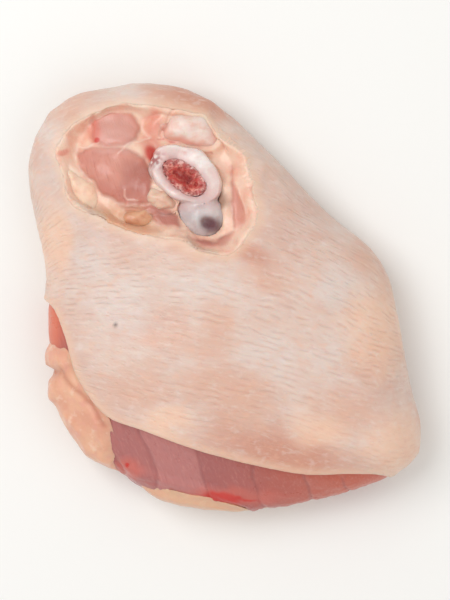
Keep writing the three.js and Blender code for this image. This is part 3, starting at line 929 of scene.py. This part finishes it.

# %% [markdown]
# No two lobes have the same colour, and the fat between them is stained by what lies below. Each
# tint is a few ovals with a colour and a share; the dark brown gap tint in the hollow beside the
# two heads of the bone is painted shade. One table holds them all, so that a tint can be moved or
# changed in one place.

# %% The meat's tints
TINTS = {
    "flush": ([((-41.7, 39.1), (1.3, 1.0)), ((-34.2, 44), (1.8, 3.2)), ((-19, 39.5), (2.4, 3.4)),
               ((2, -52), (14, 2.4)), ((-26, -45), (4, 3)), ((-18.5, 45.5), (2.6, 4)),
               ((-12, 42), (6, 1), -10)], (218, 112, 96), 0.5),
    "mauve": ([((-15.5, 22), (7, 5)), ((-23, 24.2), (5, 1.2)), ((-22.3, 32), (4.2, 5)),
               ((-1.5, 26.5), (2.2, 3.2)), ((-4, 15), (7, 3))], (181, 114, 102), 0.8),
    "pale": ([((-28.8, 45.8), (7, 6)), ((-30, 40.2), (8, 1.6))], (216, 162, 150), 0.85),
    "raw": ([((-48, -7), (6, 10))], (224, 122, 92), 0.85),
    "amber": ([((-26, 20.6), (8.5, 4.2), -12)], (214, 160, 126), 0.8),
    # gap: painted shade, a dark brown in the hollow beside the two heads of the bone
    "gap": ([GAP], (150, 112, 92), 0.85),
}

for name, (ovals, _, _) in TINTS.items():
    keep(meat, name, above * patches(wavy, ovals, 0.8))
print("meat:", len(TINTS), "tints")


# %% The meat's finish
def with_tints(tree, tint, *names):
    """Lays some of the placed tints over a colour."""
    for name in names:
        _, paint, share = TINTS[name]
        tint = tinted(tree, tint, stored(tree, name), 0.0, 1.0, share, paint)
    return tint


def bare_muscle(tree, fibre):
    """Muscle at the knee and in the bundles of the crescent, streaked by its fibres."""
    drift = spread(tree, grain(tree, (9, 8, 9), 3.0, 0.6), 0.35, 0.68)
    at_knee = mixed(tree, drift, colour(214, 150, 134), colour(202, 133, 119))
    bundle = mixed(tree, stored(tree, "shade"), colour(162, 88, 86), colour(198, 134, 130))
    bundle = mixed(tree, stored(tree, "right"), bundle, colour(196, 101, 80))
    bundle = mixed(tree, stored(tree, "below"), bundle, colour(204, 128, 118))
    tint = mixed(tree, stored(tree, "knee"), bundle, at_knee)
    tint = tinted(tree, tint, fibre, 0.5, 0.78, 0.22, (222, 168, 158))
    tint = tinted(tree, tint, fibre, 0.45, 0.22, 0.35, (160, 84, 78))
    # Painted shade: the grooves between the lobes and the seams of the crescent are darkened.
    tint = tinted(tree, tint, stored(tree, "groove"), 0.2, 1.0, 0.35, (156, 84, 82))
    return with_tints(tree, tint, "mauve", "pale")


# %% [markdown]
# Fat fills what lies between the lobes and shows in patches on the underside. The strands of
# membrane and the blood lie on top of it all.


# %% The meat's material
def make_meat_material(name):
    """Moist muscle with fibres, and fat where no muscle shows."""
    material, tree, shader = new_material(name, 0.34, flesh=0.35, depth=2.0, coat=0.22)
    fibre = grain(tree, (7, 0.55, 0.8), 3.0, 0.6, turn=FIBRE_TURN)
    fat = mixed(tree, spread(tree, grain(tree, (6, 5, 6), 4.0, 0.6, (7, 7, 7)), 0.38, 0.66),
                colour(240, 206, 185), colour(235, 184, 162))
    tint = mixed(tree, stored(tree, "bare"), fat, bare_muscle(tree, fibre))
    # The gap tint is painted shade in the hollow beside the bone's heads.
    tint = with_tints(tree, tint, "flush", "raw", "amber", "gap")
    fat_noise = spread(tree, grain(tree, (10, 14, 8), 4.0, 0.6, (30, 10, 70)), 0.48, 0.66, 0.0, 0.85)
    under = maths(tree, "MULTIPLY", fat_noise, stored(tree, "below"))
    tint = mixed(tree, under, tint, colour(238, 206, 184))
    tint = tinted(tree, tint, stored(tree, "strand"), 0.2, 0.9, 0.45, (240, 208, 192))
    tint = tinted(tree, tint, stored(tree, "blood"), 0.15, 0.8, 0.8, (202, 48, 42))
    rough = spread(tree, grain(tree, (4, 4, 4), 3.0), 0.3, 0.7, 0.26, 0.44)
    fine = maths(tree, "ADD", fibre, grain(tree, (1.6, 1.6, 1.6), 3.0, 0.6))
    finish_with(tree, shader, tint, rough, fine, relief=0.08)
    return material


dress(meat, make_meat_material("meat"), "meat")

# %% [markdown]
# ## The bone
# The thigh bone's end at the knee was cut across, so it shows as a thick ring of white gristle
# round red marrow. Below it a second, smaller head still wears its smooth bluish gristle, with a
# dark hollow in it. The shaft runs on inside the muscle. The solid has all these forms, and a
# fine remesh only makes them soft, most of all round the hollow, which has no edge at all.

# %% The bone's net
BONE_VOXEL = 0.36
HOLLOW = (-3.5, 20.4)

bone = copy_of("bone_fine", "bone")
remesh(bone, BONE_VOXEL)
places = points_of(bone)
smooth(bone, 30, oval(places, HOLLOW, (4.5, 4)) * ease(places[:, 2], 17, 19))
smooth(bone, 10)
print("bone:", len(bone.data.vertices), "points")

# %% [markdown]
# Cut gristle is uneven. The ring swells at its upper right and at its left, has a nick where a
# little blood has dried, and its inner edge has crept over the marrow as a thin lip.

# %% The ring of gristle
RING_BULGES, RING_BULGE = [((-5, 37), (5, 4)), ((-19.3, 32), (3, 5))], 0.8
NICK = (-18.3, 37.0)
RING_LIP = 0.45

places = points_of(bone)
head = ease(places[:, 1], 8, 16) * ease(places[:, 2], 12, 16)
rolled = 0.7 * waves(places, (6, 6, 6), 2.0) + 0.16 * waves(places, (2.2, 2.2, 2.2), 7.0)
nick = oval(places, NICK, (2.4, 2.2), soft=1.0)
rolled += RING_BULGE * patches(places, RING_BULGES, 0.5) - nick
push(bone, head * rolled)
places = points_of(bone)
on_marrow, to_marrow = nearest_on(tree_of("marrow"), places)
inward = (on_marrow - places) / np.maximum(to_marrow, 1e-3)[:, None]
push(bone, RING_LIP * (1 - ease(to_marrow, 0.4, 1.6)), inward)
print("ring: its lip creeps", RING_LIP, "mm over the marrow")

# %% The gristle's colours
RING_PINKS = [((-18.5, 29), (4, 3)), ((-3, 26.5), (4, 3)), ((-11, 26), (5, 2.5)),
              ((-13.5, 38.8), (4.5, 1.6))]
SECOND_HEAD = (25.0, 28.5)

wavy = wobbled(places, 3, 0.7, seed=5.0)
specks = ease(waves(places, (0.9, 0.9, 0.9), 4.0), -0.3, 0.1)
keep(bone, "hollow", oval(wavy, HOLLOW, (2.9, 1.8), -35, 1.0))
keep(bone, "second", 1 - ease(places[:, 1], *SECOND_HEAD))
keep(bone, "blood", specks * oval(wobbled(places, 1.5, 0.5), NICK, (2.6, 2.0), soft=0.8))
keep(bone, "by_marrow", 1 - ease(to_marrow, 0.6, 1.8))
keep(bone, "pink", patches(wavy, RING_PINKS, 0.8))
print("ring:", len(RING_PINKS), "pink places")


# %% The gristle's material
def make_bone_material(name):
    """Wet gristle, white on the ring and bluish on the second head."""
    material, tree, shader = new_material(name, 0.3, flesh=0.3, depth=2.2, coat=0.35)
    drift = spread(tree, grain(tree, (5, 5, 5), 3.0, 0.6), 0.4, 0.66)
    ring = mixed(tree, drift, colour(238, 229, 224), colour(228, 203, 198))
    second = mixed(tree, drift, colour(209, 206, 206), colour(188, 180, 182))
    tint = mixed(tree, maths(tree, "MULTIPLY", stored(tree, "second"), 0.9), ring, second)
    tint = stained(tree, tint, "pink", 0.6, (214, 176, 172))
    flush = grain(tree, (2.2, 2.2, 2.2), 4.0, 0.65, (5, 9, 2))
    tint = tinted(tree, tint, flush, 0.58, 0.76, 0.5, (222, 160, 152))
    tint = stained(tree, tint, "by_marrow", 0.7, (210, 160, 156))
    tint = tinted(tree, tint, stored(tree, "hollow"), 0.0, 1.0, 0.95, (98, 47, 56))
    tint = stained(tree, tint, "blood", 0.8, (152, 34, 38))
    height = grain(tree, (1.2, 1.2, 1.2), 3.0, 0.6)
    rough = spread(tree, grain(tree, (3, 3, 3), 2.0), 0.3, 0.7, 0.2, 0.4)
    finish_with(tree, shader, tint, rough, height, relief=0.05)
    return material


dress(bone, make_bone_material("gristle"), "bone")

# %% [markdown]
# ## The marrow
# Marrow is a wet red sponge. Its crown is pitted between a net of tiny bone threads, darkest in
# the middle and paler towards the ring, where the threads are dense. The pits are pushed in for
# real, as each catches a spark of light, and the threads, which are finer, are left to the bump.

# %% The marrow's pits
MARROW_VOXEL, MARROW_SWELL = 0.3, 0.3
MARROW_MIDDLE, MARROW_TURN = (-10.3, 32.5), -34
PIT_SIZE, PIT_DEPTH = 1.15, 0.45
DISH_DEPTH = 0.5

marrow = copy_of("marrow_fine", "marrow", swell=MARROW_SWELL)
remesh(marrow, MARROW_VOXEL)
smooth(marrow, 6)
places = points_of(marrow)
crown = ease(places[:, 2], 20, 22) * ease(places[:, 1], 24, 27)
uneven = wobbled(places, 2.5, 0.7, seed=8.0)
rim = 1 - oval(uneven, MARROW_MIDDLE, (5.1, 2.6), MARROW_TURN, 0.5)
pits = ease(waves(places, (PIT_SIZE, PIT_SIZE, PIT_SIZE), 3.0), 0.05, 0.35)
level = 0.25 * waves(places, (2.5, 2.5, 2.5), 9.0) - PIT_DEPTH * pits - DISH_DEPTH * (1 - rim)
push(marrow, crown * level)
keep(marrow, "pits", crown * pits)
keep(marrow, "rim", rim)
keep(marrow, "heart", oval(uneven, MARROW_MIDDLE, (3.0, 1.7), MARROW_TURN, 0.8))
print("marrow:", len(marrow.data.vertices), "points")


# %% The marrow's material
def make_marrow_material(name):
    """Red sponge with pale threads of bone."""
    material, tree, shader = new_material(name, 0.3, flesh=0.2, depth=0.8, coat=0.3)
    threads = spread(tree, grain(tree, (0.9, 0.9, 0.9), 3.0, 0.65), 0.42, 0.64)
    middle = mixed(tree, threads, colour(204, 66, 54), colour(238, 134, 112))
    outer_part = mixed(tree, threads, colour(178, 104, 100), colour(226, 188, 180))
    tint = mixed(tree, stored(tree, "rim"), middle, outer_part)
    tint = stained(tree, tint, "pits", 0.5, (156, 32, 30))
    tint = stained(tree, tint, "heart", 0.85, (132, 2, 4))
    finish_with(tree, shader, tint, None, threads, relief=0.15)
    return material


dress(marrow, make_marrow_material("red_marrow"), "marrow")

# %% [markdown]
# ## The fat
# Raw fat is soft, smooth and lumpy, and a little see-through. The lumps are small and have no
# thin walls, so they need no remesh: a subdivision surface makes each plain solid round, and
# noise then pushes it in and out. They differ only in size, lumpiness and colour, so one loop
# makes them all.


# %% The fat's material
def make_fat_material(name, pale, deep):
    """Soft fat that drifts between a pale and a deep tint."""
    material, tree, shader = new_material(name, 0.36, flesh=0.4, depth=2.0, coat=0.25)
    drift = spread(tree, grain(tree, (4, 3, 4), 4.0, 0.6), 0.38, 0.66)
    tint = mixed(tree, drift, colour(*pale), colour(*deep))
    threads = grain(tree, (0.9, 2.6, 0.9), 3.0, 0.6, (4, 4, 4))
    tint = tinted(tree, tint, threads, 0.6, 0.8, 0.4, (208, 120, 100))
    tint = stained(tree, tint, "pink", 1.0, (226, 162, 144))
    # Painted shade: the fold is darkened.
    tint = stained(tree, tint, "fold", 0.55, (196, 112, 92))
    soft_grain = grain(tree, (1.5, 1.5, 1.5), 3.0, 0.6)
    height = maths(tree, "ADD", soft_grain, cells(tree, (1.6, 1.6, 1.6)))
    finish_with(tree, shader, tint, None, height, relief=0.08)
    return material


# %% [markdown]
# A fold runs down over the fat above the ring, and the lower tip of the lump beside the ring
# lies a little nearer to the knee than the solid's. Both are places on the plan, so every lump
# is given the same rules, and only what lies in such a place is changed.

# %% The lumps of fat
ROUNDNESS = 3
FAT_SWELL = 0.6
FATS = {
    "fat_band": ((240, 210, 186), (236, 194, 170), 0.6),
    "fat_pad": ((231, 210, 201), (226, 188, 173), 0.45),
    "fat_lump": ((224, 191, 170), (214, 168, 147), 0.8),
    "fat_patch": ((217, 164, 130), (202, 138, 106), 0.5),
}
PINK_FAT = [((-19, 45), (4, 5)), ((-1, 46), (2.5, 5)), ((-11, 42), (6, 1))]
LUMP_TIP, TIP_SHIFT = ((-15.6, 23.0), (4.5, 3)), 1.6
FOLD_DEPTH = 0.7


def round_off(piece):
    """Makes a plain solid round and smooth with a subdivision surface."""
    apply_modifier(piece, "SUBSURF", levels=ROUNDNESS, render_levels=ROUNDNESS)
    bpy.ops.object.shade_smooth()


for seed, (node, (pale, deep, lumpiness)) in enumerate(FATS.items()):
    lump = copy_of(node + "_fine", node, swell=FAT_SWELL)
    round_off(lump)
    places = points_of(lump)
    push(lump, lumpiness * (waves(places, (4.5, 3.5, 4), 3.0 * seed + 1)
                            + 0.35 * waves(places, (1.8, 1.8, 1.8), seed)))
    smooth(lump, 6)
    places = points_of(lump)
    wavy = wobbled(places, 3, 0.5)
    push(lump, TIP_SHIFT * oval(places, *LUMP_TIP, soft=0.9), TO_KNEE)
    push(lump, -FOLD_DEPTH * stroke(wavy, PAD_FOLD, 1.0))
    let_wander(lump)
    # fold: where the finish paints the fold darker as shade
    keep(lump, "fold", stroke(wavy, PAD_FOLD, 0.8))
    keep(lump, "pink", patches(wobbled(places, 4, 1.5), PINK_FAT, 0.8))
    dress(lump, make_fat_material(node, pale, deep), node)

# %% [markdown]
# ## The flap
# On the left the skin of the underside has come loose. It laps up over the muscle as a thin
# flap and ends as a narrow lip under the crescent. A cloth simulation would drape it in folds of
# its own choice. To get the folds of the real one, the plain solid is made round like the fat,
# and each point is then moved along the line that leads from the muscle out to it.

# %% The flap's net
BLUNT_END = ((-46.5, -15.5), (5, 4))

flap = copy_of("flap_fine", "skin_flap")
flap_edges = point_tree(sharp_edges(flap))
round_off(flap)
smooth(flap, 80, oval(points_of(flap), *BLUNT_END))
smooth(flap, 12)
print("flap:", len(flap.data.vertices), "points")

# %% [markdown]
# Loose skin thins out towards its edge, while the solid is nearly as thick there as elsewhere.
# So the points near its edge are drawn in towards the muscle. The upper end of the flap is drawn
# out along the muscle as a tongue, and where the flap grows out of the skin beside it, it is
# laid close against that skin, so that no slit parts the two.

# %% The flap's thin edge, tongue and root
THIN_EDGE, THINNED = (0.4, 3.0), 0.7
LIP_FROM, LIP_FULL = -28, -16
FLAP_ROOT, ROOT_FADE = ((-38, -23), (9, 13)), (0.8, 3.6)
FLAP_TONGUE, TONGUE_REACH = ((-45.5, -15.5), (5.0, 4.0)), 4.6

places = points_of(flap)
lip = ease(places[:, 0], LIP_FROM, LIP_FULL)
thin = 1 - ease(distance_to(flap_edges, places), *THIN_EDGE)
inside, _ = nearest_on(meat_solid, places)
_, to_skin = nearest_on(skin_solid, places)
rooted = (1 - ease(to_skin, *ROOT_FADE)) * oval(places, *FLAP_ROOT, soft=0.5)
left_over = 1 - THINNED * thin * (1 - 0.4 * lip) * (1 - rooted)
thickness = (places - inside) * left_over[:, None]
drawn = places + np.outer(oval(places, *FLAP_TONGUE, soft=0.9), TONGUE_REACH * TO_KNEE)
inside, _ = nearest_on(meat_solid, drawn)
put_points(flap, inside + thickness)
smooth(flap, 4)
places = points_of(flap)
on_skin, _ = nearest_on(skin_solid, places)
put_points(flap, places + (on_skin - places) * rooted[:, None])
print("flap: its tongue drawn out by", TONGUE_REACH, "mm")

# %% [markdown]
# The rest is folds. A crease with a raised rim beside it runs down the upper part, and two soft
# folds lie below it. The outer side, which faces left, hangs slack over the muscle, with a pleat
# and, just below the tongue, a notch.

# %% The flap's folds
FLAP_LIFT = 0.2
FLAP_CORNER, CORNER_HEIGHT = ((-46.5, -14.5), (5, 3.6)), 1.1
FLAP_FOLDS = [[(-43.5, -21), (-44.6, -26)], [(-41, -30), (-36, -38), (-30, -45)]]
FLAP_RIM = [(-47.5, -16.6), (-43.8, -18.2), (-40, -21.5), (-36, -25.6)]
FLAP_CREASE = [(-43.5, -18.5), (-39, -23), (-34, -28), (-31.5, -32)]
FLAP_NOTCH = ((-45.3, -19.3), (2.4, 1.3))
FLAP_SLACK = [(-44, -26), (-41, -33), (-36, -40)]
FLAP_PLEAT = [(-45.0, -22.0), (-45.2, -26.0)]

places = points_of(flap)
inside, _ = nearest_on(meat_solid, places)
away = unit(places - inside)
facing = ease(along_normals(flap, away), -0.1, 0.5)
wavy = wobbled(places, 5, 1.0, seed=6.0)
crease = stroke(wavy, FLAP_CREASE, 1.2)
notch = oval(places, *FLAP_NOTCH, soft=0.8)
leftward = ease(-away[:, 0], 0.2, 0.8)
slack = leftward * (1.4 * stroke(places, FLAP_SLACK, 6) + 1.1 * stroke(places, FLAP_PLEAT, 3.0))
height = FLAP_LIFT + CORNER_HEIGHT * oval(places, *FLAP_CORNER, soft=0.8)
height = height + 0.5 * strokes(wavy, FLAP_FOLDS, 1.6) + 0.35 * stroke(wavy, FLAP_RIM, 1.4)
height = height - 0.6 * crease * (1 - thin) - 1.2 * notch + slack
height = height + 0.35 * waves(places, (6, 6, 6), 4.0) + 0.1 * waves(places, (2, 2, 2), 6.0)
push(flap, height, away * facing[:, None])
# crease: the crease and the notch, which the finish paints darker as shade
keep(flap, "crease", np.maximum(crease, notch))
print("flap: raised by up to", round(float(height.max()), 1), "mm")

# %% [markdown]
# Under the left end of the crescent the lip can't be seen: the muscle hangs over it. There the
# whole lip, its inner side too, is sunk into the muscle.

# %% The gap in the lip
LIP_GAP, LIP_SUNK = ((-24.5, -47.5), (6.5, 5)), 2.0

push(flap, -LIP_SUNK * oval(places, *LIP_GAP, soft=0.7), away)
keep(flap, "lip", lip)
print("lip: sunk by", LIP_SUNK, "mm")


# %% The flap's material
def make_flap_material(name):
    """Loose skin, deeper in colour than the rest, with pale and rosy spots."""
    material, tree, shader = new_material(name, 0.36, flesh=0.4, depth=2.0, coat=0.2)
    drift = spread(tree, grain(tree, (7, 7, 7), 4.0, 0.6), 0.36, 0.66)
    tint = mixed(tree, drift, colour(232, 181, 152), colour(223, 163, 138))
    pale = grain(tree, (3, 3, 3), 3.0, 0.6, (3, 8, 5))
    tint = tinted(tree, tint, pale, 0.55, 0.75, 0.6, (240, 210, 188))
    rosy = grain(tree, (2.2, 2.8, 2.5), 3.0, 0.6, (9, 2, 7))
    tint = tinted(tree, tint, rosy, 0.5, 0.7, 0.6, (226, 164, 148))
    tint = stained(tree, tint, "lip", 0.6, (226, 182, 150))
    # Painted shade: the crease and the notch are darkened.
    tint = stained(tree, tint, "crease", 0.6, (196, 122, 98))
    height = grain(tree, (1.6, 1.6, 1.6), 3.0, 0.6)
    finish_with(tree, shader, tint, None, height, relief=0.08)
    return material


dress(flap, make_flap_material("loose_skin"), "skin_flap")

# %% [markdown]
# ## Floor, light and camera
# The thigh lies on a plain pale floor under a large soft light, and the camera looks almost
# straight down on it, as in the picture that it is made from.


# %% Floor
def add_floor():
    """A wide pale floor, a little below the thigh, so that the two never share a plane."""
    bpy.ops.object.select_all(action="DESELECT")
    bpy.ops.mesh.primitive_plane_add(size=3, location=(0, 0, -0.1 * MM))
    floor = bpy.context.object
    floor.name = "floor"
    material = bpy.data.materials.new("floor")
    material.use_nodes = True
    shader = material.node_tree.nodes["Principled BSDF"]
    shader.inputs["Base Color"].default_value = colour(243, 243, 241)
    shader.inputs["Roughness"].default_value = 0.6
    floor.data.materials.append(material)
    print("floor:", [round(length, 1) for length in floor.dimensions], "m")


add_floor()

# %% Light
ROOM_LIGHT = 0.62


def add_light(name, place, size, power):
    """A square lamp that looks at the middle of the thigh."""
    lamp = bpy.data.objects.new(name, bpy.data.lights.new(name, "AREA"))
    bpy.context.collection.objects.link(lamp)
    lamp.data.size = size
    lamp.data.energy = power
    lamp.location = place
    lamp.rotation_euler = (-Vector(place)).to_track_quat("-Z", "Y").to_euler()
    print(name, "light:", power, "W")


add_light("key", (-0.35, 0.25, 0.7), size=0.5, power=3.2)
add_light("fill", (0.5, -0.3, 0.6), size=0.8, power=1.2)
world = bpy.data.worlds.new("studio")
bpy.context.scene.world = world
world.use_nodes = True
world.node_tree.nodes["Background"].inputs["Color"].default_value = colour(255, 253, 250)
world.node_tree.nodes["Background"].inputs["Strength"].default_value = ROOM_LIGHT
bpy.context.scene.view_settings.view_transform = "Standard"

# %% Camera
CAMERA_TILT = math.radians(4.6)
CAMERA_SIDE = (0.39, 0.92)
CAMERA_AWAY = 0.8
VIEW_HEIGHT = 0.158


def add_camera():
    """Looks down from the side where the knee is, a few degrees off the upright."""
    data = bpy.data.cameras.new("camera")
    camera = bpy.data.objects.new("camera", data)
    bpy.context.collection.objects.link(camera)
    back = Vector((*CAMERA_SIDE, 1 / math.tan(CAMERA_TILT))).normalized()
    right = Vector((0, 1, 0)).cross(back).normalized()
    turn = np.array([right[:], back.cross(right)[:], back[:]]).T
    middle = (cad_box[0] + cad_box[1]) / 2
    camera.matrix_world = Matrix.Translation(middle + back * CAMERA_AWAY) @ Matrix(turn).to_4x4()
    data.lens = data.sensor_width * CAMERA_AWAY / VIEW_HEIGHT
    bpy.context.scene.camera = camera
    print("camera:", CAMERA_AWAY, "m away, lens", round(data.lens), "mm")


add_camera()
